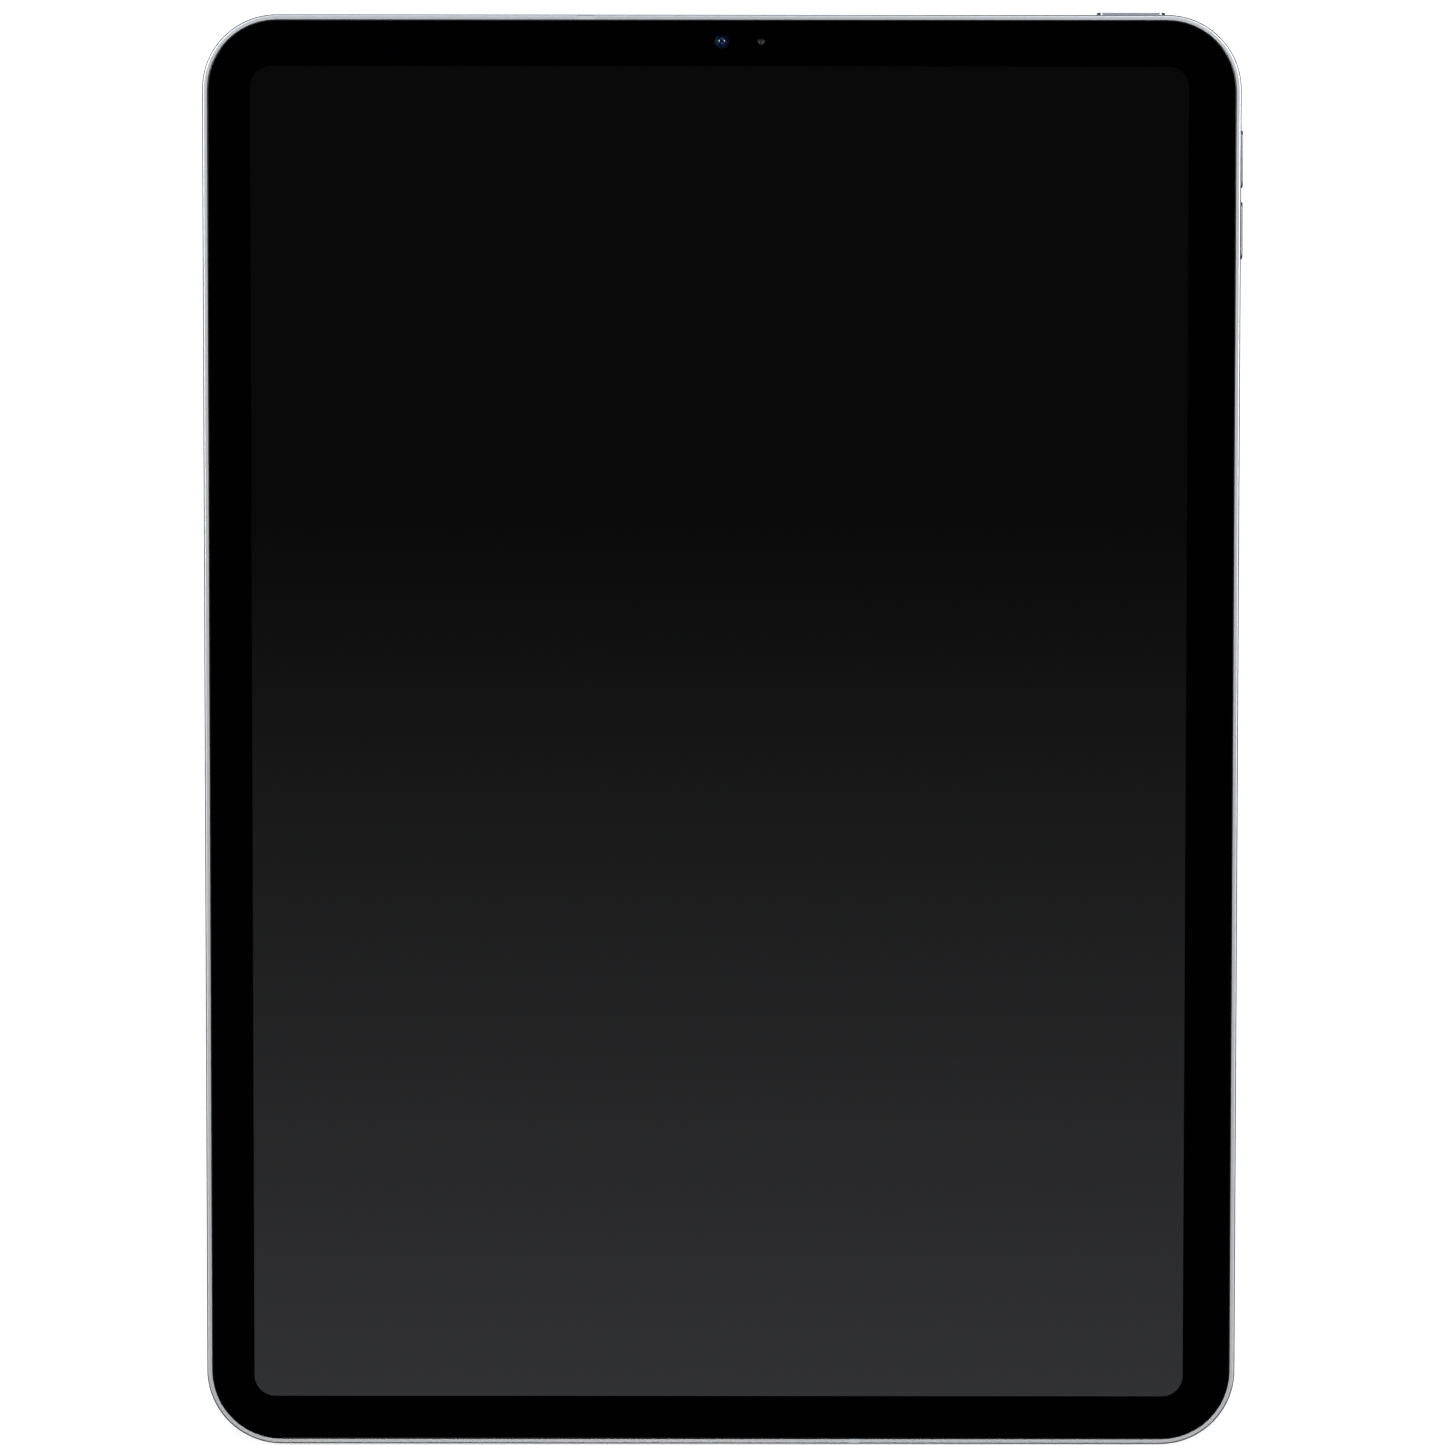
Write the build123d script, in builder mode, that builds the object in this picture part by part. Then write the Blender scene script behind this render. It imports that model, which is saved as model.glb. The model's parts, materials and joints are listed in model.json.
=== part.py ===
# A slate tablet computer, lying on its back with the screen up.
# Frame, in millimetres: +Z out of the screen, +Y towards the end with the front camera,
# +X to the right as the screen is read. X = 0 and Y = 0 are the middle of the body, and
# Z = 0 is the surface it lies on, which the rear camera's lens rings touch.
import os

from build123d import *

os.makedirs("parts", exist_ok=True)

# Body
body_width = 178.5
body_length = 247.6
body_thickness = 5.9
corner_radius = 12.9
back_edge_radius = 1.2
front_edge_radius = 0.35
wall_depth = 2.6
floor_thickness = 0.8

# Rear camera, which stands out of the back
plateau_rise = 0.75
lens_ring_rise = 0.35

back_z = plateau_rise + lens_ring_rise
front_z = back_z + body_thickness
floor_z = back_z + floor_thickness
mid_z = back_z + body_thickness / 2
half_width = body_width / 2
half_length = body_length / 2
inner_x = half_width - wall_depth
inner_y = half_length - wall_depth

# Glass and display, from the front down
rim_width = 0.9
rim_recess = 0.05
glass_gap = 0.05
glass_thickness = 0.7
glass_edge_radius = 0.25
adhesive_thickness = 0.25
panel_width = 163.2
panel_length = 232.4
panel_radius = 5.5
panel_thickness = 0.9
backlight_thickness = 0.9
backplate_thickness = 0.15
film_margin = 0.2

glass_z = front_z - glass_thickness
ledge_z = glass_z - adhesive_thickness
panel_z = glass_z - panel_thickness
backlight_z = panel_z - backlight_thickness
backplate_z = backlight_z - backplate_thickness

# Buttons
button_height = 2.2
button_gap = 0.12
button_proud = 0.4
button_travel = 0.3
button_skin = 1.3
flange_thickness = 0.5
flange_margin = 0.5
pocket_margin = 0.95
power_x = 70.3
power_length = 11.8
volume_length = 9.9
volume_up_y = half_length - 24.75
volume_down_y = half_length - 37.0
bracket_sheet = 0.45
bracket_screw_offset = 9.0
power_screw_x = 62.0

# Plastic breaks in the end walls, for the antennas
top_break = (-24.9, -21.9)
bottom_break = (22.25, 24.15)
break_start_y = 118.2

# Rear camera layout
seat_gap = 0.05
plateau_width = 27.0
plateau_length = 31.0
plateau_radius = 8.0
plateau_x = 70.75
plateau_y = 103.3
plateau_flange = 0.4
lens_x = plateau_x + 6.0
wide_y = plateau_y + 8.0
ultrawide_y = plateau_y - 8.0
small_x = plateau_x - 7.2
depth_y = plateau_y - 8.0
flash_y = plateau_y + 1.0
rear_mic_y = plateau_y + 9.0
module_z = floor_z + plateau_flange + seat_gap
module_top_z = 3.75
module_corner_radius = 0.8

# Front sensors, on one line near the top edge
sensor_y = half_length - 4.57
light_sensor_x = 6.75

# Speakers and ports
through = 1.0  # how far a cutting shape starts outside the wall
speaker_x = 40.0
speaker_holes = 8
speaker_pitch = 2.2
speaker_hole_radius = 0.6
speaker_width = 28.0
speaker_nose_width = 21.0
port_width = 9.1
port_height = 3.3
plug_width = 8.34
plug_height = 2.56
mic_hole_radius = 0.35
top_mic_x = -8.0
left_mic_y = 100.0

# Side window for the stylus charger, contact pads, card tray
window_y = 20.0
window_length = 37.0
window_height = 3.0
contacts_y = -106.0
contact_pitch = 7.0
contact_radius = 1.5
contact_base_length = 20.0
contact_base_width = 4.6
contact_recess = 0.03
tray_y = -104.5
tray_length = 11.8
tray_height = 2.2
tray_plate_z = 3.2
tray_recess = 0.02
tray_cap_depth = 1.1
card_length = 12.4
card_width = 8.9

# Inside
board_z = floor_z + 0.8
board_thickness = 0.6
board_top_z = board_z + board_thickness
board_width = 38.0
board_length = 188.0
board_y = 2.0
shield_top_z = board_top_z + 0.9
battery_z = floor_z + 0.1
battery_thickness = 2.15
boss_radius = 1.6
screw_radius = 0.5
screw_gap = 0.03
screw_head_radius = 1.1
small_head_radius = 0.9
magnet_size = (3.4, 14.0, 2.2)
magnet_x = 84.2
magnet_z = 3.05
coax_radius = 0.32
coax_z = 3.95

boss_spots = [(x, y) for x in (-17, 17) for y in (-80, 2, 93)]


def finish(piece, name):
    piece.part.label = name
    export_step(piece.part, f"parts/{name}.step")


def wall(out, along, side, height=mid_z):
    # A plane standing on a wall: its z points out of the tablet, its x runs along the edge.
    if side == "top":
        return Plane(origin=(along, out, height), x_dir=(1, 0, 0), z_dir=(0, 1, 0))
    if side == "bottom":
        return Plane(origin=(along, -out, height), x_dir=(-1, 0, 0), z_dir=(0, -1, 0))
    if side == "right":
        return Plane(origin=(out, along, height), x_dir=(0, 1, 0), z_dir=(1, 0, 0))
    return Plane(origin=(-out, along, height), x_dir=(0, -1, 0), z_dir=(-1, 0, 0))


def slot(plane, length, height):
    with BuildSketch(plane) as outline:
        SlotOverall(length, height)
    return outline.sketch


def rounded(plane, width, length, radius):
    with BuildSketch(plane) as outline:
        RectangleRounded(width, length, radius)
    return outline.sketch


def block(low, high, mode=Mode.ADD):
    # A box between two opposite corners.
    size = [b - a for a, b in zip(low, high)]
    middle = tuple((a + b) / 2 for a, b in zip(low, high))
    with Locations(middle):
        Box(*size, mode=mode)


def pin(x, y, low, high, radius, mode=Mode.ADD):
    # An upright cylinder between two heights.
    with Locations((x, y, (low + high) / 2)):
        Cylinder(radius, high - low, mode=mode)


buttons = {
    "power_button": (wall(half_length, power_x, "top"), power_length),
    "volume_up_button": (wall(half_width, volume_up_y, "right"), volume_length),
    "volume_down_button": (wall(half_width, volume_down_y, "right"), volume_length),
}
speakers = {
    "speaker_top_left": ("top", -speaker_x),
    "speaker_top_right": ("top", speaker_x),
    "speaker_bottom_left": ("bottom", -speaker_x),
    "speaker_bottom_right": ("bottom", speaker_x),
}
power_plane = buttons["power_button"][0]

# ---- Housing ----------------------------------------------------------------------------

# The whole tray, before the antenna breaks are cut out of it.
with BuildPart() as tray_shell:
    with BuildSketch(Plane.XY.offset(back_z)):
        RectangleRounded(body_width, body_length, corner_radius)
    extrude(amount=body_thickness - rim_recess)
    fillet(tray_shell.faces().sort_by(Axis.Z)[0].edges(), back_edge_radius)
    fillet(tray_shell.faces().sort_by(Axis.Z)[-1].edges(), front_edge_radius)
    pocket_inset = rim_width - glass_gap
    with BuildSketch(Plane.XY.offset(ledge_z)):
        RectangleRounded(
            body_width - 2 * pocket_inset,
            body_length - 2 * pocket_inset,
            corner_radius - pocket_inset,
        )
    extrude(amount=1, mode=Mode.SUBTRACT)
    with BuildSketch(Plane.XY.offset(floor_z)):
        RectangleRounded(2 * inner_x, 2 * inner_y, corner_radius - wall_depth)
    extrude(amount=ledge_z - floor_z, mode=Mode.SUBTRACT)

# Two plastic breaks let the antennas through the metal, one in each end wall.
with BuildPart() as breaks:
    block((top_break[0], break_start_y, 0), (top_break[1], half_length + through, front_z + through))
    block((bottom_break[0], -half_length - through, 0), (bottom_break[1], -break_start_y, front_z + through))

with BuildPart() as rear_housing:
    add(tray_shell.part)
    for x, y in boss_spots:
        pin(x, y, floor_z, board_z, boss_radius)
        pin(x, y, floor_z, board_z, screw_radius + screw_gap, Mode.SUBTRACT)
    add(breaks.part, mode=Mode.SUBTRACT)

    # Button slots, each with a pocket behind it for the button's flange.
    for plane, length in buttons.values():
        extrude(
            slot(plane.offset(through), length + 2 * button_gap, button_height + 2 * button_gap),
            amount=-wall_depth - 2 * through,
            mode=Mode.SUBTRACT,
        )
        extrude(
            rounded(
                plane.offset(-button_skin),
                length + 2 * pocket_margin,
                button_height + 2 * pocket_margin,
                0.8,
            ),
            amount=-wall_depth,
            mode=Mode.SUBTRACT,
        )

    # Rows of speaker holes, two in each end wall.
    for side, x in speakers.values():
        with Locations(wall(half_length, x, side)):
            with GridLocations(speaker_pitch, 1, speaker_holes, 1):
                Cylinder(speaker_hole_radius, 2 * wall_depth + through, mode=Mode.SUBTRACT)

    # Microphone holes in the top edge and the left edge.
    with Locations(wall(half_length, top_mic_x, "top"), wall(half_width, left_mic_y, "left")):
        Cylinder(mic_hole_radius, 2 * wall_depth + through, mode=Mode.SUBTRACT)

    # Charging port, stylus window, card tray.
    for plane, length, height in (
        (wall(half_length, 0, "bottom"), port_width, port_height),
        (wall(half_width, window_y, "right"), window_length, window_height),
        (wall(half_width, tray_y, "right"), tray_length + 0.2, tray_height + 0.2),
    ):
        extrude(
            slot(plane.offset(through), length, height),
            amount=-wall_depth - 2 * through,
            mode=Mode.SUBTRACT,
        )

    # Back: camera opening and the seat of the contact pads.
    extrude(
        rounded(
            Plane(origin=(plateau_x, plateau_y, 0)),
            plateau_width + 2 * seat_gap,
            plateau_length + 2 * seat_gap,
            plateau_radius + seat_gap,
        ),
        amount=floor_z + 0.1,
        mode=Mode.SUBTRACT,
    )
    extrude(
        slot(Plane(origin=(0, contacts_y, 0)), contact_base_length, contact_base_width),
        amount=floor_z + 0.1,
        mode=Mode.SUBTRACT,
    )

    # Blind holes for the screws of the button brackets.
    bracket_holes = [
        wall(inner_y, power_screw_x, "top"),
        wall(inner_x, volume_up_y + bracket_screw_offset, "right"),
        wall(inner_x, volume_down_y - bracket_screw_offset, "right"),
    ]
    with Locations(bracket_holes):
        Cylinder(screw_radius + screw_gap, 2.6, mode=Mode.SUBTRACT)
finish(rear_housing, "rear_housing")

with BuildPart() as antenna_inserts:
    add(tray_shell.part)
    add(breaks.part, mode=Mode.INTERSECT)
finish(antenna_inserts, "antenna_inserts")

with BuildPart() as stylus_charging_window:
    extrude(
        slot(
            wall(inner_x, window_y, "right"),
            window_length - 2 * seat_gap,
            window_height - 2 * seat_gap,
        ),
        amount=wall_depth - 0.02,
    )
finish(stylus_charging_window, "stylus_charging_window")

with BuildPart() as contact_base:
    with BuildSketch(Plane.XY.offset(back_z + 0.05)):
        with Locations((0, contacts_y)):
            SlotOverall(contact_base_length - 2 * seat_gap, contact_base_width - 2 * seat_gap)
    extrude(amount=floor_thickness - 0.05)
    with BuildSketch(Plane.XY.offset(floor_z)):
        with Locations((0, contacts_y)):
            SlotOverall(contact_base_length + 2, contact_base_width + 2)
    extrude(amount=0.4)
    with BuildSketch(Plane.XY):
        with Locations((0, contacts_y)):
            with GridLocations(contact_pitch, 1, 3, 1):
                Circle(contact_radius + 0.02)
    extrude(amount=floor_z + 0.2, mode=Mode.SUBTRACT)
finish(contact_base, "contact_base")

with BuildPart() as contact_pads:
    with BuildSketch(Plane.XY.offset(back_z + contact_recess)):
        with Locations((0, contacts_y)):
            with GridLocations(contact_pitch, 1, 3, 1):
                Circle(contact_radius)
    extrude(amount=floor_thickness)
finish(contact_pads, "contact_pads")

# ---- Glass and display ------------------------------------------------------------------

glass_radius = corner_radius - rim_width
glass_width = body_width - 2 * rim_width
glass_length = body_length - 2 * rim_width

with BuildPart() as cover_glass:
    with BuildSketch(Plane.XY.offset(glass_z)):
        RectangleRounded(glass_width, glass_length, glass_radius)
    extrude(amount=glass_thickness)
    fillet(cover_glass.faces().sort_by(Axis.Z)[-1].edges(), glass_edge_radius)
finish(cover_glass, "cover_glass")

with BuildPart() as glass_adhesive:
    with BuildSketch(Plane.XY.offset(ledge_z)):
        RectangleRounded(glass_width - 0.2, glass_length - 0.2, glass_radius - 0.1)
        RectangleRounded(
            2 * inner_x + 0.2, 2 * inner_y + 0.2, corner_radius - wall_depth + 0.1, mode=Mode.SUBTRACT
        )
    extrude(amount=adhesive_thickness)
finish(glass_adhesive, "glass_adhesive")

with BuildPart() as display_panel:
    with BuildSketch(Plane.XY.offset(panel_z)):
        RectangleRounded(panel_width, panel_length, panel_radius)
    extrude(amount=panel_thickness)
finish(display_panel, "display_panel")

with BuildPart() as backlight_unit:
    with BuildSketch(Plane.XY.offset(backlight_z)):
        RectangleRounded(
            panel_width - 2 * film_margin, panel_length - 2 * film_margin, panel_radius - film_margin
        )
    extrude(amount=backlight_thickness)
finish(backlight_unit, "backlight_unit")

with BuildPart() as display_backplate:
    with BuildSketch(Plane.XY.offset(backplate_z)):
        RectangleRounded(
            panel_width - 2 * film_margin, panel_length - 2 * film_margin, panel_radius - film_margin
        )
    extrude(amount=backplate_thickness)
finish(display_backplate, "display_backplate")

# The display's ribbon leaves the panel's lower edge, turns under it and plugs into the board.
ribbon_x = -14.0
ribbon_width = 13.0
ribbon_thickness = 0.15
ribbon_z = 4.15
with BuildPart() as display_flex:
    with BuildSketch(Plane(origin=(ribbon_x, 0, 0), x_dir=(0, 1, 0), z_dir=(1, 0, 0))):
        with BuildLine():
            FilletPolyline(
                (-panel_length / 2, panel_z + 0.45),
                (-118.8, panel_z + 0.45),
                (-118.8, ribbon_z),
                (-86.5, ribbon_z),
                radius=0.6,
            )
        trace(line_width=ribbon_thickness)
    extrude(amount=ribbon_width / 2, both=True)
    block((ribbon_x - 5, -90, board_top_z + 0.6), (ribbon_x + 5, -87, ribbon_z))
finish(display_flex, "display_flex")

# ---- Rear camera ------------------------------------------------------------------------

plateau_z = back_z - plateau_rise
ring_seat_z = 0.9
lenses = {
    "wide": {
        "y": wide_y, "ring": 5.9, "glass": 5.0, "hole": 4.7, "turret": 4.5, "barrel": 3.5, "can": 11.0,
    },
    "ultrawide": {
        "y": ultrawide_y, "ring": 5.1, "glass": 4.2, "hole": 3.9, "turret": 3.7, "barrel": 3.0, "can": 9.5,
    },
}
camera_screws = [(lens_x - 8.4, wide_y + 5.6), (lens_x - 8.4, ultrawide_y - 5.6)]
depth_window_radius = 3.25
flash_window_radius = 2.4
rear_mic_radius = 0.45

with BuildPart() as camera_plateau:
    with BuildSketch(Plane.XY.offset(plateau_z)):
        with Locations((plateau_x, plateau_y)):
            RectangleRounded(plateau_width, plateau_length, plateau_radius)
    extrude(amount=floor_z - plateau_z)
    fillet(camera_plateau.faces().sort_by(Axis.Z)[0].edges(), 0.45)
    with BuildSketch(Plane.XY.offset(floor_z)):
        with Locations((plateau_x, plateau_y)):
            RectangleRounded(plateau_width + 2, plateau_length + 2, plateau_radius + 1)
    extrude(amount=plateau_flange)
    for lens in lenses.values():
        pin(lens_x, lens["y"], 0, ring_seat_z, lens["ring"] + 0.03, Mode.SUBTRACT)
        pin(lens_x, lens["y"], 0, module_z, lens["hole"], Mode.SUBTRACT)
    pin(small_x, depth_y, 0, module_z, depth_window_radius, Mode.SUBTRACT)
    pin(small_x, flash_y, 0, module_z, flash_window_radius, Mode.SUBTRACT)
    pin(small_x, rear_mic_y, 0, module_z, rear_mic_radius, Mode.SUBTRACT)
    for x, y in camera_screws:
        pin(x, y, floor_z + plateau_flange, module_top_z, 1.2)
        pin(x, y, floor_z + plateau_flange, module_top_z, screw_radius + screw_gap, Mode.SUBTRACT)
finish(camera_plateau, "camera_plateau")

with BuildPart() as lens_rings:
    for lens in lenses.values():
        pin(lens_x, lens["y"], 0, ring_seat_z, lens["ring"])
        pin(lens_x, lens["y"], 0, ring_seat_z, lens["glass"] + 0.02, Mode.SUBTRACT)
    outer_edges = lens_rings.edges().filter_by(GeomType.CIRCLE).group_by(Axis.Z)[0]
    chamfer(outer_edges.sort_by(SortBy.RADIUS)[-2:], 0.15)
finish(lens_rings, "lens_rings")

with BuildPart() as lens_windows:
    for lens in lenses.values():
        pin(lens_x, lens["y"], 0.12, 0.72, lens["glass"])
finish(lens_windows, "lens_windows")

# Each camera is a square can with a round turret that looks out through the plateau.
for name, lens in lenses.items():
    bore = lens["barrel"] + 0.05
    with BuildPart() as camera_module:
        block(
            (lens_x - lens["can"] / 2, lens["y"] - lens["can"] / 2, module_z),
            (lens_x + lens["can"] / 2, lens["y"] + lens["can"] / 2, module_top_z),
        )
        fillet(camera_module.edges().filter_by(Axis.Z), module_corner_radius)
        pin(lens_x, lens["y"], 1.0, module_z, lens["turret"])
        pin(lens_x, lens["y"], 1.0, 3.3, bore, Mode.SUBTRACT)
    finish(camera_module, f"{name}_camera_module")

# The wide camera's barrel floats in its can and moves to focus. The other one is fixed.
for name, low, high in (("wide_lens_barrel", 1.15, 2.95), ("ultrawide_lens", 1.05, 3.3)):
    lens = lenses[name.split("_")[0]]
    radius = lens["barrel"]
    with BuildPart() as barrel:
        with BuildSketch(Plane(origin=(lens_x, lens["y"], 0), x_dir=(1, 0, 0), z_dir=(0, -1, 0))):
            with BuildLine():
                Polyline(
                    (0, low + 0.75),
                    (radius * 0.42, low + 0.65),
                    (radius * 0.5, low + 0.35),
                    (radius * 0.86, low),
                    (radius, low),
                    (radius, high),
                    (0, high),
                    close=True,
                )
            make_face()
        revolve(axis=Axis((lens_x, lens["y"], 0), (0, 0, 1)))
    finish(barrel, name)

window_recess = 0.08
with BuildPart() as depth_sensor:
    pin(small_x, depth_y, plateau_z + window_recess, module_z, depth_window_radius - seat_gap)
    block((small_x - 4, depth_y - 4, module_z), (small_x + 4, depth_y + 4, module_top_z))
finish(depth_sensor, "depth_sensor")

with BuildPart() as flash_module:
    pin(small_x, flash_y, plateau_z + window_recess, module_z, flash_window_radius - seat_gap)
    block((small_x - 2.8, flash_y - 2.6, module_z), (small_x + 2.8, flash_y + 2.6, module_z + 0.9))
finish(flash_module, "flash_module")

with BuildPart() as camera_bracket:
    block(
        (lens_x - 9.9, ultrawide_y - 7.1, module_top_z + 0.03),
        (lens_x + 4.8, wide_y + 5.9, module_top_z + 0.25),
    )
    fillet(camera_bracket.edges().filter_by(Axis.Z), 1.2)
    for x, y in camera_screws:
        pin(x, y, module_top_z, module_top_z + 0.3, screw_radius + screw_gap, Mode.SUBTRACT)
finish(camera_bracket, "camera_bracket")

# ---- Front sensors ----------------------------------------------------------------------

sensor_base_z = floor_z + 0.3
sensor_half = 1.9
front_can_top_z = 5.3
front_lens_z = 4.2
front_lens_top_z = 6.1
front_lens_radius = 1.4

with BuildPart() as front_sensor_bracket:
    block((-20, sensor_y - sensor_half, floor_z + 0.03), (22, sensor_y + sensor_half, sensor_base_z))
finish(front_sensor_bracket, "front_sensor_bracket")

with BuildPart() as front_camera_module:
    block((-3, sensor_y - sensor_half, sensor_base_z), (3, sensor_y + sensor_half, front_can_top_z))
    pin(0, sensor_y, front_lens_z, front_can_top_z, front_lens_radius + 0.02, Mode.SUBTRACT)
finish(front_camera_module, "front_camera_module")

# The lens barrel, dished at its front end.
with BuildPart() as front_camera_lens:
    pin(0, sensor_y, front_lens_z, front_lens_top_z, front_lens_radius)
    with Locations((0, sensor_y, front_lens_top_z + 1.0)):
        Sphere(1.3, mode=Mode.SUBTRACT)
finish(front_camera_lens, "front_camera_lens")

with BuildPart() as ambient_light_sensor:
    block((light_sensor_x - 1.4, sensor_y - 1.2, sensor_base_z), (light_sensor_x + 1.4, sensor_y + 1.2, 5.4))
    pin(light_sensor_x, sensor_y, 5.4, 6.2, 0.6)
finish(ambient_light_sensor, "ambient_light_sensor")

with BuildPart() as infrared_camera:
    block((-17, sensor_y - sensor_half, sensor_base_z), (-11, sensor_y + sensor_half, 5.2))
    pin(-14, sensor_y, 5.2, 6.1, 1.6)
finish(infrared_camera, "infrared_camera")

with BuildPart() as infrared_projector:
    block((14, sensor_y - 1.7, sensor_base_z), (20, sensor_y + 1.7, 5.6))
    block((15.2, sensor_y - 1.2, 5.6), (18.8, sensor_y + 1.2, 6.1))
finish(infrared_projector, "infrared_projector")

# ---- Buttons ----------------------------------------------------------------------------

# A button is a pill-shaped cap in its slot, a flange that stops it from falling out, and
# two nubs that press the switch. At rest it stands proud of the wall by button_proud.
nub_length = 0.65
nub_radius = 0.7
nub_inset = 4.5
flange_top = -button_skin - 0.05
nub_tip = flange_top - flange_thickness - nub_length
switch_face = nub_tip - button_travel - 0.05
for name, (plane, length) in buttons.items():
    with BuildPart() as button:
        with BuildSketch(plane.offset(button_proud)):
            SlotOverall(length, button_height)
        extrude(amount=-(button_proud - flange_top))
        cap = button.faces().sort_by(Axis(plane.origin, plane.z_dir))[-1]
        fillet(cap.edges(), 0.18)
        with BuildSketch(plane.offset(flange_top)):
            RectangleRounded(length + 2 * flange_margin, button_height + 2 * flange_margin, 0.7)
        extrude(amount=-flange_thickness)
        with BuildSketch(plane.offset(flange_top - flange_thickness)):
            with GridLocations(length - nub_inset, 1, 2, 1):
                Circle(nub_radius)
        extrude(amount=-nub_length)
    finish(button, name)

# A switch faces each pair of nubs, just past the end of their travel.
switch_depth = 1.3
switch_height = 2.4
with BuildPart() as power_switch:
    with BuildSketch(power_plane.offset(switch_face)):
        Rectangle(9.6, switch_height)
    extrude(amount=-switch_depth)
    fillet(power_switch.edges().filter_by(Axis.Y), 0.4)
finish(power_switch, "power_switch")

with BuildPart() as volume_switches:
    for name in ("volume_up_button", "volume_down_button"):
        with BuildSketch(buttons[name][0].offset(switch_face)):
            Rectangle(7.8, switch_height)
        extrude(amount=-switch_depth)
finish(volume_switches, "volume_switches")

# Steel brackets hold the switches off the wall, each screwed to it through a foot.
bracket_back = switch_face - switch_depth
bracket_low_z = mid_z - 1.5
bracket_high_z = mid_z + 1.6
power_back_y = half_length + bracket_back
with BuildPart() as power_switch_bracket:
    block((60.8, power_back_y - bracket_sheet, bracket_low_z), (78.6, power_back_y, bracket_high_z))
    block((60.8, power_back_y, bracket_low_z), (63.1, inner_y, bracket_high_z))
    block((77.6, power_back_y, bracket_low_z), (78.6, inner_y - 0.7, bracket_high_z))
    with Locations(wall(power_back_y, power_screw_x, "top")):
        Cylinder(screw_radius + screw_gap, 8, mode=Mode.SUBTRACT)
finish(power_switch_bracket, "power_switch_bracket")

volume_back_x = half_width + bracket_back
volume_screws = (volume_down_y - bracket_screw_offset, volume_up_y + bracket_screw_offset)
foot_half = 1.2
with BuildPart() as volume_bracket:
    block(
        (volume_back_x - bracket_sheet, volume_screws[0] - foot_half, bracket_low_z),
        (volume_back_x, volume_screws[1] + foot_half, bracket_high_z),
    )
    for y in volume_screws:
        block((volume_back_x, y - foot_half, bracket_low_z), (inner_x, y + foot_half, bracket_high_z))
    with Locations([wall(volume_back_x, y, "right") for y in volume_screws]):
        Cylinder(screw_radius + screw_gap, 8, mode=Mode.SUBTRACT)
finish(volume_bracket, "volume_bracket")

# ---- Boards and chips -------------------------------------------------------------------

with BuildPart() as logic_board:
    block(
        (-board_width / 2, board_y - board_length / 2, board_z),
        (board_width / 2, board_y + board_length / 2, board_top_z),
    )
    fillet(logic_board.edges().filter_by(Axis.Z), 1.5)
    block((ribbon_x - 4.5, -90.2, board_top_z), (ribbon_x + 4.5, -86.8, board_top_z + 0.6))
    for x, y in boss_spots:
        pin(x, y, board_z, board_top_z, 0.62, Mode.SUBTRACT)
    for x in (-19, 19):
        for y in (-50, 50):
            pin(x, y, board_z, board_top_z, 1.5, Mode.SUBTRACT)
finish(logic_board, "logic_board")

with BuildPart() as processor:
    block((-7.5, 36, board_top_z), (7.5, 51, board_top_z + 0.35))
    block((-6.2, 37.3, board_top_z + 0.35), (6.2, 49.7, board_top_z + 0.7))
    fillet(processor.edges().filter_by(Axis.Z), 0.4)
finish(processor, "processor")

# Each chip's middle, width and length.
chip_height = 0.65
chips = (
    (-5.8, 25, 9, 12),
    (5.8, 25, 9, 12),
    (0, 6, 14, 11),
    (-5, -33, 8, 8),
    (6, -36, 7, 9),
    (0, -50, 10, 8),
)
with BuildPart() as board_chips:
    for x, y, wide, long in chips:
        block(
            (x - wide / 2, y - long / 2, board_top_z),
            (x + wide / 2, y + long / 2, board_top_z + chip_height),
        )
finish(board_chips, "board_chips")

# Pressed shield cans stand over the chips.
can_sheet = 0.12
cans = (((-12, -4), (12, 56)), ((-12, -60), (12, -22)))
with BuildPart() as board_shields:
    for low, high in cans:
        block((*low, board_top_z), (*high, shield_top_z))
    fillet(board_shields.edges().filter_by(Axis.Z), 0.9)
    for low, high in cans:
        block(
            (low[0] + can_sheet, low[1] + can_sheet, board_top_z),
            (high[0] - can_sheet, high[1] - can_sheet, shield_top_z - can_sheet),
            Mode.SUBTRACT,
        )
finish(board_shields, "board_shields")

with BuildPart() as thermal_sheet:
    with BuildSketch(Plane.XY.offset(shield_top_z)):
        with Locations((0, -2)):
            RectangleRounded(30, 124, 3)
    extrude(amount=0.1)
finish(thermal_sheet, "thermal_sheet")

# ---- Batteries --------------------------------------------------------------------------

cells = {
    "battery_left": ((-79.5, -100), (-22, 103)),
    "battery_right": ((22, -95.5), (79.5, 81)),
}
for name, (low, high) in cells.items():
    with BuildPart() as cell:
        block((*low, battery_z), (*high, battery_z + battery_thickness))
        fillet(cell.edges().filter_by(Axis.Z), 2.0)
        fillet(cell.faces().sort_by(Axis.Z)[-1].edges(), 0.5)
    finish(cell, name)

with BuildPart() as battery_adhesive:
    for low, high in cells.values():
        for share in (0.2, 0.8):
            y = low[1] + share * (high[1] - low[1])
            block((low[0] + 4, y - 14, floor_z), (high[0] - 4, y + 14, battery_z))
finish(battery_adhesive, "battery_adhesive")

with BuildPart() as battery_board:
    block((6.5, -104, 2.6), (20.5, -94.5, 3.0))
    block((8, -102.5, 3.0), (12.5, -98, 3.55))
    block((14, -102, 3.0), (18.5, -98, 3.45))
finish(battery_board, "battery_board")

# ---- Charging port ----------------------------------------------------------------------

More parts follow.
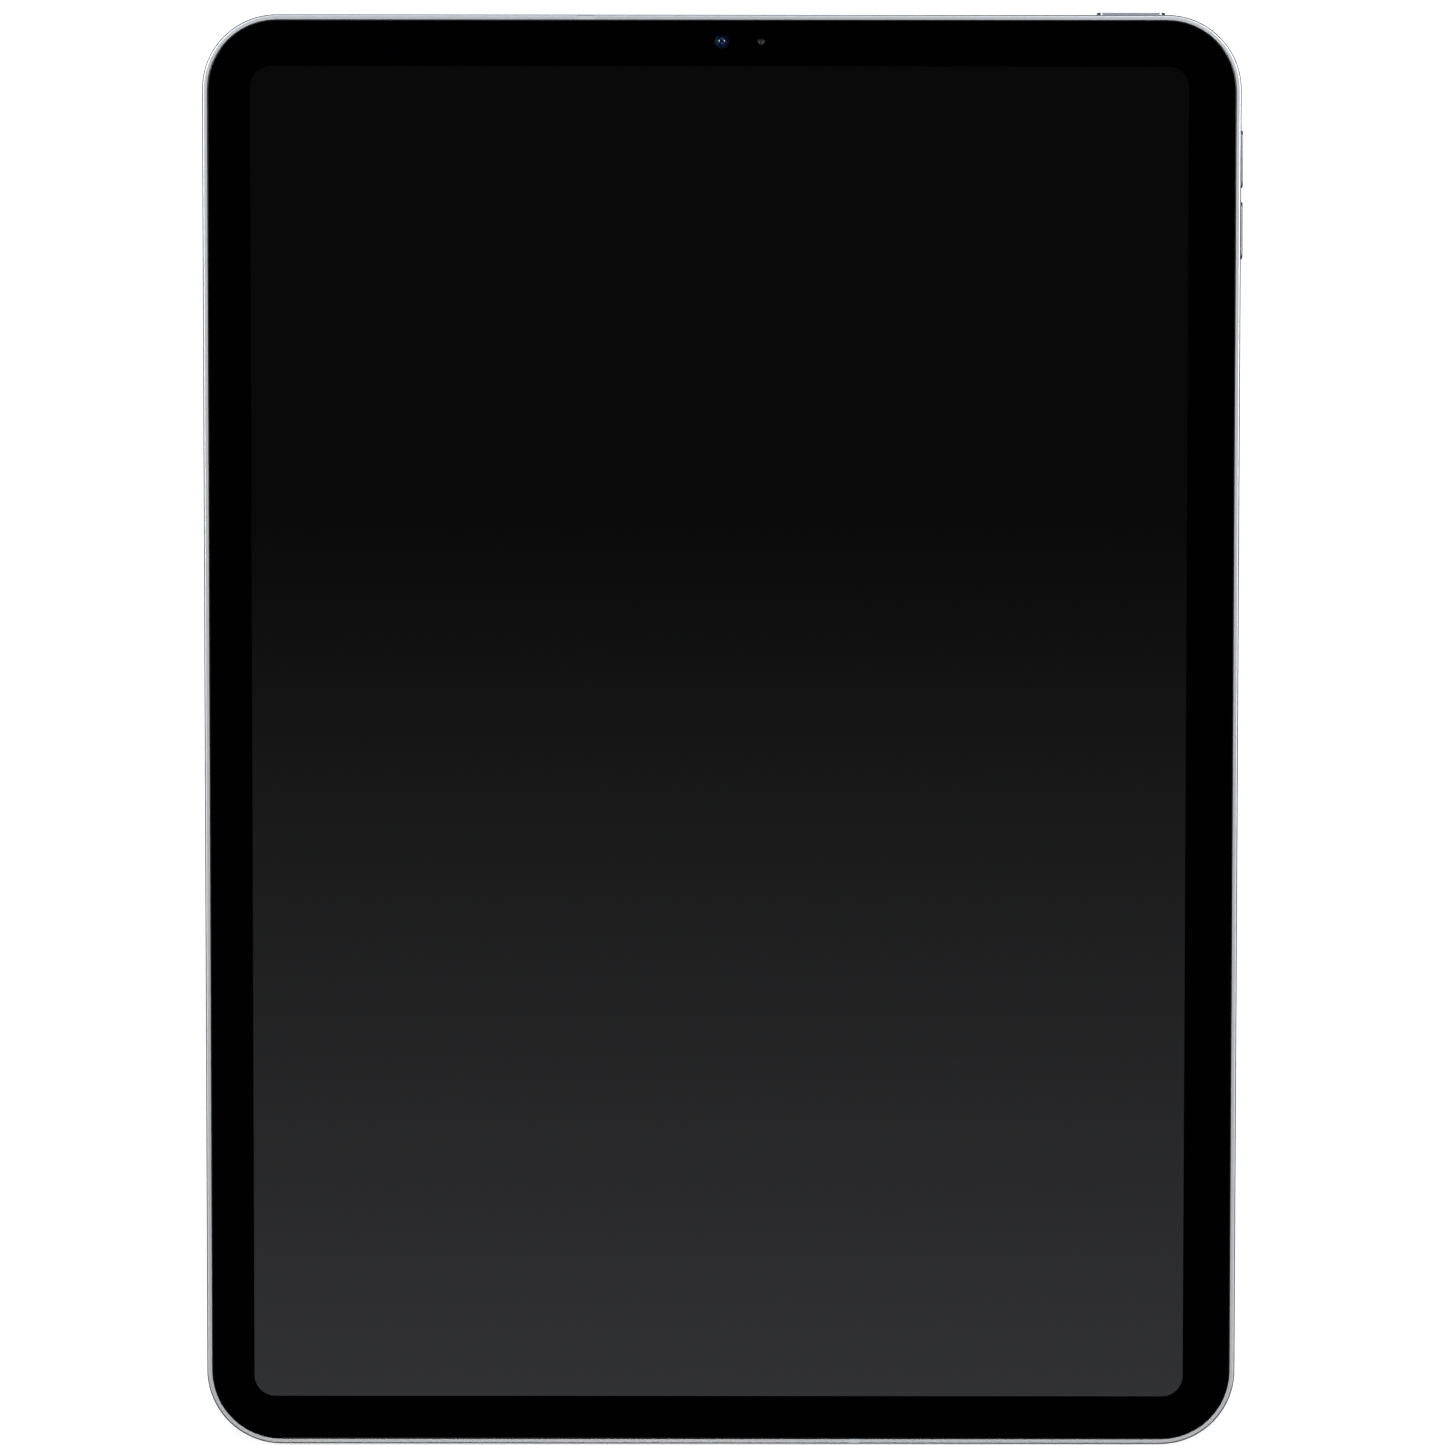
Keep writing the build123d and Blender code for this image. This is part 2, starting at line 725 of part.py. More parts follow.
port_mouth_y = -half_length + 0.3
port_back_y = -panel_length / 2 - 0.4
port_mouth = wall(-port_mouth_y, 0, "bottom")
with BuildPart() as usb_connector:
    with BuildSketch(port_mouth):
        SlotOverall(port_width - 0.12, port_height - 0.12)
    extrude(amount=-(port_back_y - port_mouth_y))
    with BuildSketch(port_mouth):
        SlotOverall(plug_width, plug_height)
    extrude(amount=-(port_back_y - port_mouth_y - 0.5), mode=Mode.SUBTRACT)
    block((-3.35, port_mouth_y + 1.0, mid_z - 0.35), (3.35, port_back_y, mid_z + 0.35))
finish(usb_connector, "usb_connector")

with BuildPart() as usb_flex:
    block((-7, -inner_y + 0.2, 2.0), (7, -112.5, 2.4))
    block((-4, -113.5, 2.4), (4, -86, 2.52))
finish(usb_flex, "usb_flex")

# ---- Sound ------------------------------------------------------------------------------

# A speaker box lies under the display, with a taller nose against the wall and its mouth.
for name, (side, x) in speakers.items():
    up = 1 if side == "top" else -1
    wall_y = inner_y - 0.3
    with BuildPart() as speaker:
        ends = sorted((up * 106.5, up * wall_y))
        block((x - speaker_width / 2, ends[0], 1.95), (x + speaker_width / 2, ends[1], 4.2))
        ends = sorted((up * 117.0, up * wall_y))
        block((x - speaker_nose_width / 2, ends[0], 4.2), (x + speaker_nose_width / 2, ends[1], 5.2))
        ends = sorted((up * 118.6, up * (wall_y + 1)))
        block((x - 8.9, ends[0], 3.2), (x + 8.9, ends[1], 4.9), Mode.SUBTRACT)
        fillet(speaker.edges().filter_by(Axis.Z).group_by(SortBy.LENGTH)[-1], 0.8)
    finish(speaker, name)

with BuildPart() as speaker_meshes:
    for side, x in speakers.values():
        up = 1 if side == "top" else -1
        ends = sorted((up * (inner_y - 0.25), up * (inner_y - 0.05)))
        block((x - 9.5, ends[0], 3.1), (x + 9.5, ends[1], 5.0))
finish(speaker_meshes, "speaker_meshes")

with BuildPart() as microphones:
    block((top_mic_x - 1.6, inner_y - 1.3, 3.0), (top_mic_x + 1.6, inner_y - 0.1, 5.1))
    block((-inner_x + 0.1, left_mic_y - 1.6, 3.0), (-inner_x + 1.3, left_mic_y + 1.6, 5.1))
    block((small_x - 1.6, rear_mic_y - 1.2, module_z), (small_x + 1.6, rear_mic_y + 1.2, module_z + 1))
finish(microphones, "microphones")

# ---- Radio, charger, magnets ------------------------------------------------------------

with BuildPart() as antennas:
    block((-36, 117.4, 5.35), (-20.5, 120.9, 5.6))
    block((-25, 118.2, 4.35), (-21.5, 120.2, 5.35))
    block((19, -120.9, 5.35), (38, -117.4, 5.6))
    block((19.5, -120.2, 4.35), (23, -118.2, 5.35))
finish(antennas, "antennas")

coax_routes = (
    ((-8, 90), (-8, 106), (-21, 113), (-23.2, 118.9)),
    ((11, -84), (11, -106), (18, -113), (21.2, -118.9)),
)
with BuildPart() as coax_cables:
    for route in coax_routes:
        with BuildLine() as coax_path:
            FilletPolyline(*[(x, y, coax_z) for x, y in route], radius=2.5)
        start = Plane(origin=coax_path.line @ 0, z_dir=coax_path.line % 0)
        with BuildSketch(start):
            Circle(coax_radius)
        sweep(path=coax_path.line)
finish(coax_cables, "coax_cables")

with BuildPart() as stylus_charging_coil:
    block((82.3, window_y - 16, mid_z - 1.4), (inner_x - 0.3, window_y + 16, mid_z + 1.4))
    block((83.1, window_y - 14.5, mid_z - 0.7), (inner_x, window_y + 14.5, mid_z + 0.7), Mode.SUBTRACT)
    block((83.1, window_y - 14.2, mid_z - 0.6), (inner_x - 0.3, window_y + 14.2, mid_z + 0.6))
finish(stylus_charging_coil, "stylus_charging_coil")

left_magnets = [-92 + 22.5 * n for n in range(9)]
right_magnets = [-84 + 17 * n for n in range(5)] + [48, 64]
with BuildPart() as case_magnets:
    for x, places in ((-magnet_x, left_magnets), (magnet_x, right_magnets)):
        with Locations([(x, y, magnet_z) for y in places]):
            Box(*magnet_size)
    fillet(case_magnets.edges().filter_by(Axis.Z), 0.4)
finish(case_magnets, "case_magnets")

# ---- Card tray --------------------------------------------------------------------------

with BuildPart() as sim_tray:
    with BuildSketch(wall(half_width - tray_recess, tray_y, "right")):
        SlotOverall(tray_length, tray_height)
    extrude(amount=-tray_cap_depth)
    block(
        (70.5, tray_y - 5.4, tray_plate_z),
        (half_width - tray_cap_depth, tray_y + 5.4, tray_plate_z + 0.9),
    )
    block(
        (71.3, tray_y - card_width / 2, tray_plate_z + 0.2),
        (71.3 + card_length, tray_y + card_width / 2, tray_plate_z + 1),
        Mode.SUBTRACT,
    )
    with Locations(wall(half_width, tray_y - 4.2, "right")):
        Cylinder(0.45, 3.0, mode=Mode.SUBTRACT)
finish(sim_tray, "sim_tray")

with BuildPart() as sim_reader:
    block((69.2, tray_y - 6.4, 1.95), (inner_x - 0.3, tray_y + 6.4, 4.3))
    block(
        (70.0, tray_y - 5.6, tray_plate_z - 0.15),
        (inner_x, tray_y + 5.6, tray_plate_z + 1.0),
        Mode.SUBTRACT,
    )
finish(sim_reader, "sim_reader")

# ---- Screws -----------------------------------------------------------------------------

with BuildPart() as board_screws:
    for x, y in boss_spots:
        pin(x, y, floor_z + 0.1, board_top_z, screw_radius)
        pin(x, y, board_top_z, board_top_z + 0.45, screw_head_radius)
        pin(x, y, board_top_z + 0.2, board_top_z + 0.45, 0.35, Mode.SUBTRACT)
finish(board_screws, "board_screws")

with BuildPart() as bracket_screws:
    for x, y in camera_screws:
        pin(x, y, floor_z + plateau_flange + 0.1, module_top_z + 0.25, screw_radius)
        pin(x, y, module_top_z + 0.25, module_top_z + 0.5, small_head_radius)
    heads = [wall(power_back_y, power_screw_x, "top")]
    heads += [wall(volume_back_x, y, "right") for y in volume_screws]
    for head in heads:
        with BuildSketch(head.offset(-bracket_sheet)):
            Circle(small_head_radius)
        extrude(amount=-0.3)
        with BuildSketch(head.offset(-bracket_sheet)):
            Circle(screw_radius)
        extrude(amount=bracket_sheet + (-bracket_back - wall_depth) + 1.2)
finish(bracket_screws, "bracket_screws")
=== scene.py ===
# A slate tablet computer lying on its back: black glass front, bead-blasted aluminium body.
# In metres, +Z out of the screen, +Y towards the front camera, +X to the right of the screen.
# Sizes in the pieces' dictionaries are in mm unless they are multiplied by mm.
import json
import math

import bmesh
import bpy
from mathutils import Matrix, Vector

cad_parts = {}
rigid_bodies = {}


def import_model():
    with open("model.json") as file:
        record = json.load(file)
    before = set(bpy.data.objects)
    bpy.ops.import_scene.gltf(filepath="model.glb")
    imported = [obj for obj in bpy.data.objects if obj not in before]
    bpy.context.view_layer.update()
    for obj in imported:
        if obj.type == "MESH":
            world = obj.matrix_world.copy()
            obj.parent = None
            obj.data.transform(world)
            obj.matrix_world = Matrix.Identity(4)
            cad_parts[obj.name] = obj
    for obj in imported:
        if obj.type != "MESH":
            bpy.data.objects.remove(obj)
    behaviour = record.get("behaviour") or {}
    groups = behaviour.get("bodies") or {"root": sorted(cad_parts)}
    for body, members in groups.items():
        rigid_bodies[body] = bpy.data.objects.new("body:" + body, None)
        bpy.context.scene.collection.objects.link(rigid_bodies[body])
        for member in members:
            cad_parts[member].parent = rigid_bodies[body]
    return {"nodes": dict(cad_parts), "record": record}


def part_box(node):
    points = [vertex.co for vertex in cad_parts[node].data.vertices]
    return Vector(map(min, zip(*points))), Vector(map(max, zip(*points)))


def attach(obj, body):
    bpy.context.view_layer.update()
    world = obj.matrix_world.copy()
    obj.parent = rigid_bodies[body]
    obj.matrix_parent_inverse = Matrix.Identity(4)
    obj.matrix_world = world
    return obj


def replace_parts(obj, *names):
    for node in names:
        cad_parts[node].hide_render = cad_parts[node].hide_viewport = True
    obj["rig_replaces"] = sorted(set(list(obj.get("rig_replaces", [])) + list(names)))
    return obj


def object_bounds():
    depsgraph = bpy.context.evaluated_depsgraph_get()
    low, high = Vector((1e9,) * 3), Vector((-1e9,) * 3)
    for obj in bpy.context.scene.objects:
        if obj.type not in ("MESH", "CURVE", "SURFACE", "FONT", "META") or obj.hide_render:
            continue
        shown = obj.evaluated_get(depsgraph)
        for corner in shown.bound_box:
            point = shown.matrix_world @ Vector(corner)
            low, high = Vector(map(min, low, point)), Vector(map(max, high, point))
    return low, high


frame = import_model()
cadLow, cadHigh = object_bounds()
mm = 0.001
slotOf = {part["node"]: part["material_slot"] for part in frame["record"]["subparts"]}
print("frame loaded:", len(frame["nodes"]), "nodes")


# Small helpers

def linear(hexCode):
    # sRGB hex to the linear colour a shader takes
    parts = [int(hexCode[i:i + 2], 16) / 255 for i in (1, 3, 5)]
    return tuple(p / 12.92 if p <= 0.04045 else ((p + 0.055) / 1.055) ** 2.4 for p in parts) + (1,)


def addNode(tree, kind, values={}, links={}, **settings):
    node = tree.nodes.new("ShaderNode" + kind)
    for name, value in settings.items():
        setattr(node, name, value)
    for socket, value in values.items():
        node.inputs[socket].default_value = value
    for socket, source in links.items():
        tree.links.new(source, node.inputs[socket])
    return node


def startMaterial(name, sockets):
    # A Principled material with its constant sockets set, and the Object coordinates to draw on
    material = bpy.data.materials.new(name)
    material.use_nodes = True
    tree = material.node_tree
    shader = tree.nodes["Principled BSDF"]
    for socket, value in sockets.items():
        shader.inputs[socket].default_value = value
    place = addNode(tree, "TexCoord").outputs["Object"]
    return material, tree, shader, place


def vary(tree, shader, factor, roughness):
    # Roughness that drifts between two values
    low, high = roughness
    spread = addNode(tree, "MapRange", {"To Min": low, "To Max": high}, {"Value": factor})
    tree.links.new(spread.outputs["Result"], shader.inputs["Roughness"])


def roughen(tree, shader, place, look):
    # Fine grain in the surface: a bump as deep as its relief, and roughness that varies with it
    scale = 1 / (look["grain"] * mm)
    grain = addNode(tree, "TexNoise", {"Scale": scale, "Detail": 2.0}, {"Vector": place}).outputs["Fac"]
    bump = addNode(tree, "Bump", {"Strength": 0.5, "Distance": look["relief"] * mm}, {"Height": grain})
    tree.links.new(bump.outputs["Normal"], shader.inputs["Normal"])
    vary(tree, shader, grain, look["roughness"])
    return grain


def smear(tree, shader, place, look, detail=2.0):
    # The faint film on a polished surface
    scale = 1 / (look["smear"] * mm)
    cloud = addNode(tree, "TexNoise", {"Scale": scale, "Detail": detail}, {"Vector": place})
    vary(tree, shader, cloud.outputs["Fac"], look["roughness"])


def tint(tree, shader, factor, dark, light):
    # Colour that drifts between two shades
    ends = {"A": linear(dark), "B": linear(light)}
    mix = addNode(tree, "Mix", ends, {"Factor": factor}, data_type="RGBA")
    tree.links.new(mix.outputs[2], shader.inputs["Base Color"])


def ringTint(tree, shader, place, centre, reach, colours):
    # Colour that changes with the distance from a point, out to reach
    offset = addNode(tree, "VectorMath", {1: centre}, {0: place}, operation="DISTANCE")
    share = addNode(tree, "MapRange", {"From Max": reach}, {"Value": offset.outputs["Value"]})
    ramp = addNode(tree, "ValToRGB", {}, {"Fac": share.outputs["Result"]})
    stops = ramp.color_ramp.elements
    stops.new(0.5)
    for stop, colour in zip(stops, colours):
        stop.color = linear(colour)
    tree.links.new(ramp.outputs["Color"], shader.inputs["Base Color"])


def newPiece(name, bm, materials, body="body", nodes=(), smoothTo=40):
    # Turns a finished bmesh into a piece that rides on a body
    for edge in bm.edges:
        edge.smooth = len(edge.link_faces) == 2 and edge.calc_face_angle(0) < math.radians(smoothTo)
    for face in bm.faces:
        face.smooth = True
    mesh = bpy.data.meshes.new(name)
    bm.to_mesh(mesh)
    bm.free()
    piece = bpy.data.objects.new(name, mesh)
    bpy.context.scene.collection.objects.link(piece)
    for material in materials:
        mesh.materials.append(material)
    weighted = piece.modifiers.new("flat faces stay flat", "WEIGHTED_NORMAL")
    weighted.keep_sharp = True
    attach(piece, body)
    if nodes:
        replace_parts(piece, *nodes)
    return piece


def turned(bm, profile, centre, steps=64):
    # Spins a profile of (radius, height) points, in mm, round an upright axis through centre
    points = [bm.verts.new((centre[0] + r * mm, centre[1], z * mm)) for r, z in profile]
    edges = [bm.edges.new(pair) for pair in zip(points, points[1:])]
    bmesh.ops.spin(
        bm, geom=points + edges, cent=(centre[0], centre[1], 0), axis=(0, 0, 1), dvec=(0, 0, 0),
        angle=2 * math.pi, steps=steps, use_merge=True, use_normal_flip=False, use_duplicate=False,
    )
    bmesh.ops.remove_doubles(bm, verts=bm.verts, dist=1e-7)
    bmesh.ops.recalc_face_normals(bm, faces=bm.faces)


def dome(crown, radius, reach, outward, steps=14):
    # A spherical cap from its rim to its crown, as (radius, height) points closed across its back
    wide = math.asin(reach / radius)
    angles = [wide * (1 - n / steps) for n in range(steps + 1)]
    cap = [(radius * math.sin(a), crown - outward * radius * (1 - math.cos(a))) for a in angles]
    return [(0, cap[0][1])] + cap


def middle(node):
    # The middle of a node, and its box in mm
    low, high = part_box(node)
    return (low + high) / 2, low / mm, high / mm


def roundedLoop(bm, low, high, radius, z, steps):
    # The edges of a rounded rectangle between two corners, at height z
    corners = [(low[0], low[1]), (high[0], low[1]), (high[0], high[1]), (low[0], high[1])]
    points = [bm.verts.new((x, y, z)) for x, y in corners]
    bm.faces.new(points)
    bmesh.ops.bevel(
        bm, geom=points, offset=radius, offset_type="OFFSET", affect="VERTICES",
        segments=steps, profile=0.5, material=-1, clamp_overlap=False,
    )
    face = max(bm.faces, key=lambda f: len(f.verts))
    edges = list(face.edges)
    bmesh.ops.delete(bm, geom=[face], context="FACES_ONLY")
    return edges


def circleLoop(bm, centre, radius, z, steps):
    before = set(bm.edges)
    bmesh.ops.create_circle(
        bm, cap_ends=False, segments=steps, radius=radius,
        matrix=Matrix.Translation((centre[0], centre[1], z)),
    )
    return [edge for edge in bm.edges if edge not in before]


# Materials, each named for what the real one is and how its surface was made

metalLook = {
    "metallic": 1.0,
    "dark": "#D0D2D3",
    "light": "#D8DADB",
    "edge": "#4E4F53",      # painted shade on the rounded front edge, standing in for the dark reflection that runs round it
    "paintedShadeBand": (0.05, 0.2, 0.86, 0.93),    # how upright the normal is across the painted shade
    "grain": 0.11,          # bead-blast dimples, drawn about twice as coarse as they are
    "relief": 0.002,
    "roughness": (0.33, 0.41),
    "cloud": 40,
}
insertLook = {
    # the inserts carry the same painted shade on the rounded front edge, in a darker tone of their own
    **metalLook, "metallic": 0.0, "dark": "#ADB0B1", "light": "#B7BABB", "edge": "#3C413E",
    "roughness": (0.45, 0.6),
}
# painted shade: the buttons are drawn a darker grey than the body, with a darker painted edge as well
paintedShadeButtonLook = {**metalLook, "dark": "#9C9EA1", "light": "#A6A8AC", "edge": "#303134"}


def beadBlasted(name, look):
    # Blasted with fine beads: a satin silver grey with a fine even grain, with painted shade on its
    # rounded front edges
    material, tree, shader, place = startMaterial(name, {"Metallic": look["metallic"]})
    grit = roughen(tree, shader, place, look)
    scale = 1 / (look["cloud"] * mm)
    cloud = addNode(tree, "TexNoise", {"Scale": scale, "Detail": 1.0}, {"Vector": place})
    blend = addNode(tree, "Mix", {"Factor": 0.5}, {"A": grit, "B": cloud.outputs["Fac"]})
    plain = addNode(
        tree, "Mix", {"A": linear(look["dark"]), "B": linear(look["light"])},
        {"Factor": blend.outputs[0]}, data_type="RGBA",
    )
    # painted shade: where the normal tilts out towards the side, the colour turns to the dark edge tone
    facing = addNode(tree, "TexCoord").outputs["Normal"]
    upright = addNode(tree, "SeparateXYZ", {}, {"Vector": facing}).outputs["Z"]
    start, full, last, end = look["paintedShadeBand"]
    rise = addNode(tree, "MapRange", {"From Min": start, "From Max": full}, {"Value": upright})
    fall = addNode(tree, "MapRange", {"From Min": end, "From Max": last}, {"Value": upright})
    edge = addNode(
        tree, "Math", {}, {0: rise.outputs["Result"], 1: fall.outputs["Result"]}, operation="MULTIPLY"
    )
    withPaintedShade = addNode(
        tree, "Mix", {"B": linear(look["edge"])}, {"Factor": edge.outputs[0], "A": plain.outputs[2]},
        data_type="RGBA",
    )
    tree.links.new(withPaintedShade.outputs[2], shader.inputs["Base Color"])
    return material


inkLook = {"colour": "#010102", "roughness": (0.012, 0.03), "smear": 9}


def inkBackedGlass():
    # Polished cover glass with black ink on its back: a deep black under a clear gloss
    material, tree, shader, place = startMaterial(
        "inkBackedGlass", {"IOR": 1.5, "Base Color": linear(inkLook["colour"])}
    )
    smear(tree, shader, place, inkLook, 3.0)
    return material


displayLook = {
    "width": 161.2 * mm,
    "length": 230.3 * mm,
    "middle": Vector((-0.4 * mm, -0.2 * mm, 0)),
    "radius": 3.6 * mm,
    "dark": "#090909",
    "light": "#2F2F2F",
    "paintedSheenStart": 41 * mm,       # the painted sheen starts here and is brightest at the place given next
    "paintedSheenEnd": -115 * mm,
    "paintedSheenCurve": 1.35,
    "roughness": (0.015, 0.035),
    "smear": 9,
}


def displayGlass():
    # The glass over the display, which is off: polished, over a near black that lightens to a dark grey
    # towards the port, a painted sheen standing in for the light the screen picks up at that end
    material, tree, shader, place = startMaterial("displayGlass", {"IOR": 1.5})
    # painted sheen: the colour lightens from the camera end towards the port
    along = addNode(tree, "SeparateXYZ", {}, {"Vector": place}).outputs["Y"]
    share = addNode(
        tree, "MapRange", {"From Min": displayLook["paintedSheenStart"], "From Max": displayLook["paintedSheenEnd"]},
        {"Value": along},
    )
    curve = addNode(
        tree, "Math", {1: displayLook["paintedSheenCurve"]}, {0: share.outputs["Result"]}, operation="POWER"
    )
    tint(tree, shader, curve.outputs[0], displayLook["dark"], displayLook["light"])
    smear(tree, shader, place, displayLook, 3.0)
    return material


clearLook = {"alpha": 0.1, "colour": "#020304", "roughness": (0.0, 0.02), "smear": 3}
coatedLook = {"ior": 1.65, "roughness": (0.01, 0.03), "smear": 0.8}


def clearGlass():
    # Polished clear glass, where the ink is left open for a camera or a sensor. It is thin, so
    # what is behind it shows straight through
    material, tree, shader, place = startMaterial(
        "clearGlass",
        {"IOR": 1.5, "Alpha": clearLook["alpha"], "Base Color": linear(clearLook["colour"])},
    )
    smear(tree, shader, place, clearLook)
    return material


def coatedLensGlass(name, centre, reach, colours):
    # Polished lens glass with an anti-reflection coating: dark, with the coating's blues and greens,
    # which on the front camera are a painted reflection of the lamps
    material, tree, shader, place = startMaterial(name, {"IOR": coatedLook["ior"]})
    ringTint(tree, shader, place, centre, reach, colours)
    smear(tree, shader, place, coatedLook)
    return material


meshLook = {"pitch": 0.754, "relief": 0.05, "dark": "#0E0E0F", "light": "#4A4B4D"}
boardLook = {
    "pitch": 3.77, "dark": "#0B2A1A", "light": "#174A2C",
    "roughness": (0.25, 0.4), "grain": 0.5, "relief": 0.01,
}
oneWave = 2 * math.pi / 20      # how long one wave of the texture is at a scale of 1


def wovenSteelMesh():
    # Black-plated steel cloth, plain woven: a fine dark screen. Its wires are 0.12 mm apart, and
    # are drawn six times as coarse, because a finer weave would not show through the holes
    material, tree, shader, place = startMaterial("wovenSteelMesh", {"Metallic": 1.0, "Roughness": 0.4})
    waves = [
        addNode(
            tree, "TexWave", {"Scale": oneWave / (meshLook["pitch"] * mm)}, {"Vector": place},
            bands_direction=way,
        ).outputs["Fac"]
        for way in ("X", "Z")
    ]
    weave = addNode(tree, "Math", {}, {0: waves[0], 1: waves[1]}, operation="MULTIPLY").outputs[0]
    bump = addNode(tree, "Bump", {"Distance": meshLook["relief"] * mm}, {"Height": weave})
    tree.links.new(bump.outputs["Normal"], shader.inputs["Normal"])
    tint(tree, shader, weave, meshLook["dark"], meshLook["light"])
    return material


def solderMaskedBoard():
    # Glass-filled epoxy board under dark green solder mask, with bands of copper tracks below it
    material, tree, shader, place = startMaterial("solderMaskedBoard", {"IOR": 1.5})
    tracks = addNode(
        tree, "TexWave", {"Scale": oneWave / (boardLook["pitch"] * mm), "Distortion": 1.5},
        {"Vector": place},
    ).outputs["Fac"]
    roughen(tree, shader, place, boardLook)
    tint(tree, shader, tracks, boardLook["dark"], boardLook["light"])
    return material


# The other materials, one for each slot: the real stuff, how it was made, and what that gives.
# Grain and relief are in mm, and stretch draws the grain out along an axis, as rolling does.
finishes = {
    # aluminium turned, then anodised dark grey: fine rings and a soft metallic edge
    "dark_ring": {
        "name": "anodisedDarkRing", "dark": "#5A5C60", "light": "#66686C", "metal": 1.0,
        "roughness": (0.24, 0.34), "grain": 0.08, "relief": 0.002,
    },
    # polycarbonate barrel moulded with fine baffles: a matt black that holds light in
    "lens_barrel": {
        "name": "mouldedBaffleBlack", "dark": "#08080A", "light": "#121214",
        "roughness": (0.55, 0.7), "grain": 0.1, "relief": 0.006,
    },
    # acrylic foam tape, die-cut: soft black
    "black_adhesive": {
        "name": "dieCutFoamTape", "dark": "#0C0C0C", "light": "#161616",
        "roughness": (0.75, 0.9), "grain": 0.2, "relief": 0.03,
    },
    # laminated glass cell, off: a smooth charcoal
    "display_cell": {
        "name": "laminatedCell", "dark": "#101113", "light": "#17181B",
        "roughness": (0.1, 0.18), "grain": 0.3, "relief": 0.002,
    },
    # stacked polyester diffusers: milky white
    "backlight_film": {
        "name": "diffuserFilm", "dark": "#E4E5E2", "light": "#EEEFEC",
        "roughness": (0.4, 0.55), "grain": 0.4, "relief": 0.004,
    },
    # steel strip, pressed and nickel plated: bright grey with rolling lines
    "plated_steel": {
        "name": "nickelPlatedSheet", "dark": "#A9A7A2", "light": "#BDBBB6", "metal": 1.0,
        "roughness": (0.26, 0.4), "grain": 0.25, "relief": 0.004, "stretch": (1, 0.08, 1),
    },
    # polyimide film over copper: amber brown
    "flex_circuit": {
        "name": "polyimideFlex", "dark": "#6E3C12", "light": "#8A5220",
        "roughness": (0.3, 0.45), "grain": 0.5, "relief": 0.01, "stretch": (1, 0.1, 1),
    },
    # copper pad plated with nickel and a hard gold flash: pale, slightly warm
    "gold_contact": {
        "name": "goldFlashedPad", "dark": "#C9B48C", "light": "#D8C6A0", "metal": 1.0,
        "roughness": (0.2, 0.3), "grain": 0.1, "relief": 0.002,
    },
    # liquid-crystal polymer, moulded: black with a dull sheen
    "module_black": {
        "name": "mouldedHousingBlack", "dark": "#0D0D0E", "light": "#18181A",
        "roughness": (0.4, 0.55), "grain": 0.15, "relief": 0.006,
    },
    # epoxy moulding compound: near black, laser-matt top
    "chip_package": {
        "name": "mouldedEpoxyPackage", "dark": "#17181A", "light": "#222426",
        "roughness": (0.5, 0.65), "grain": 0.1, "relief": 0.006,
    },
    # pressed graphite film: slick dark grey
    "graphite_sheet": {
        "name": "graphiteFilm", "dark": "#26272A", "light": "#35373A", "metal": 0.4,
        "roughness": (0.35, 0.5), "grain": 0.8, "relief": 0.01,
    },
    # aluminium laminate pouch, vacuum drawn: black with a soft crinkle
    "battery_pouch": {
        "name": "laminatedPouch", "dark": "#101012", "light": "#1C1C1F",
        "roughness": (0.35, 0.5), "grain": 6.0, "relief": 0.08,
    },
    # etched copper under clear film: reddish metal
    "copper_antenna": {
        "name": "etchedCopper", "dark": "#A9694A", "light": "#C08060", "metal": 1.0,
        "roughness": (0.28, 0.4), "grain": 0.3, "relief": 0.004,
    },
    # extruded fluoropolymer jacket: smooth black
    "cable_jacket": {
        "name": "extrudedJacket", "dark": "#101010", "light": "#1B1B1B",
        "roughness": (0.35, 0.45), "grain": 0.3, "relief": 0.004,
    },
    # sintered magnet, nickel plated: bright and slightly pitted
    "magnet_nickel": {
        "name": "nickelPlatedMagnet", "dark": "#B3B0A8", "light": "#C6C3BB", "metal": 1.0,
        "roughness": (0.15, 0.28), "grain": 0.2, "relief": 0.006,
    },
    # machined stainless steel: grey with fine tool marks
    "steel_screw": {
        "name": "machinedSteel", "dark": "#8F8E8B", "light": "#A6A5A2", "metal": 1.0,
        "roughness": (0.25, 0.38), "grain": 0.06, "relief": 0.003,
    },
}


def plainFinish(look):
    material, tree, shader, place = startMaterial(look["name"], {"Metallic": look.get("metal", 0.0)})
    drawn = addNode(tree, "Mapping", {"Scale": look.get("stretch", (1, 1, 1))}, {"Vector": place})
    grain = roughen(tree, shader, drawn.outputs["Vector"], look)
    tint(tree, shader, grain, look["dark"], look["light"])
    return material


# anodised aluminium, bead-blasted first, and for the buttons a darker grey of it: painted shade, standing
# in for the shade they sit in at the body's side
aluminium = beadBlasted("beadBlastedAluminium", metalLook)
ink = inkBackedGlass()
clear = clearGlass()
materialOf = {slot: plainFinish(look) for slot, look in finishes.items()}
materialOf["anodised_shell"] = aluminium
materialOf["anodised_button"] = beadBlasted("beadBlastedButton", paintedShadeButtonLook)
# glass-filled nylon moulded into the metal and blasted with it: an even light grey, less bright
materialOf["insert_plastic"] = beadBlasted("blastedNylon", insertLook)
materialOf["steel_mesh"] = wovenSteelMesh()
materialOf["circuit_board"] = solderMaskedBoard()
materialOf["lens_glass"] = ink
materialOf["black_glass"] = ink
print("materials made")

# The housing and the other pieces that show keep the frame's shape, with their triangles joined
# so that round edges shade smoothly. The housing's corners are divided too, to be round in outline

cornerLook = {
    "radius": 12.9 * mm,
    "front": 0.35 * mm,     # rounding of the front and the back edge
    "back": 1.2 * mm,
    "near": 0.02 * mm,      # how close to the outside a point has to be to lie on it
    "cuts": 3,
}


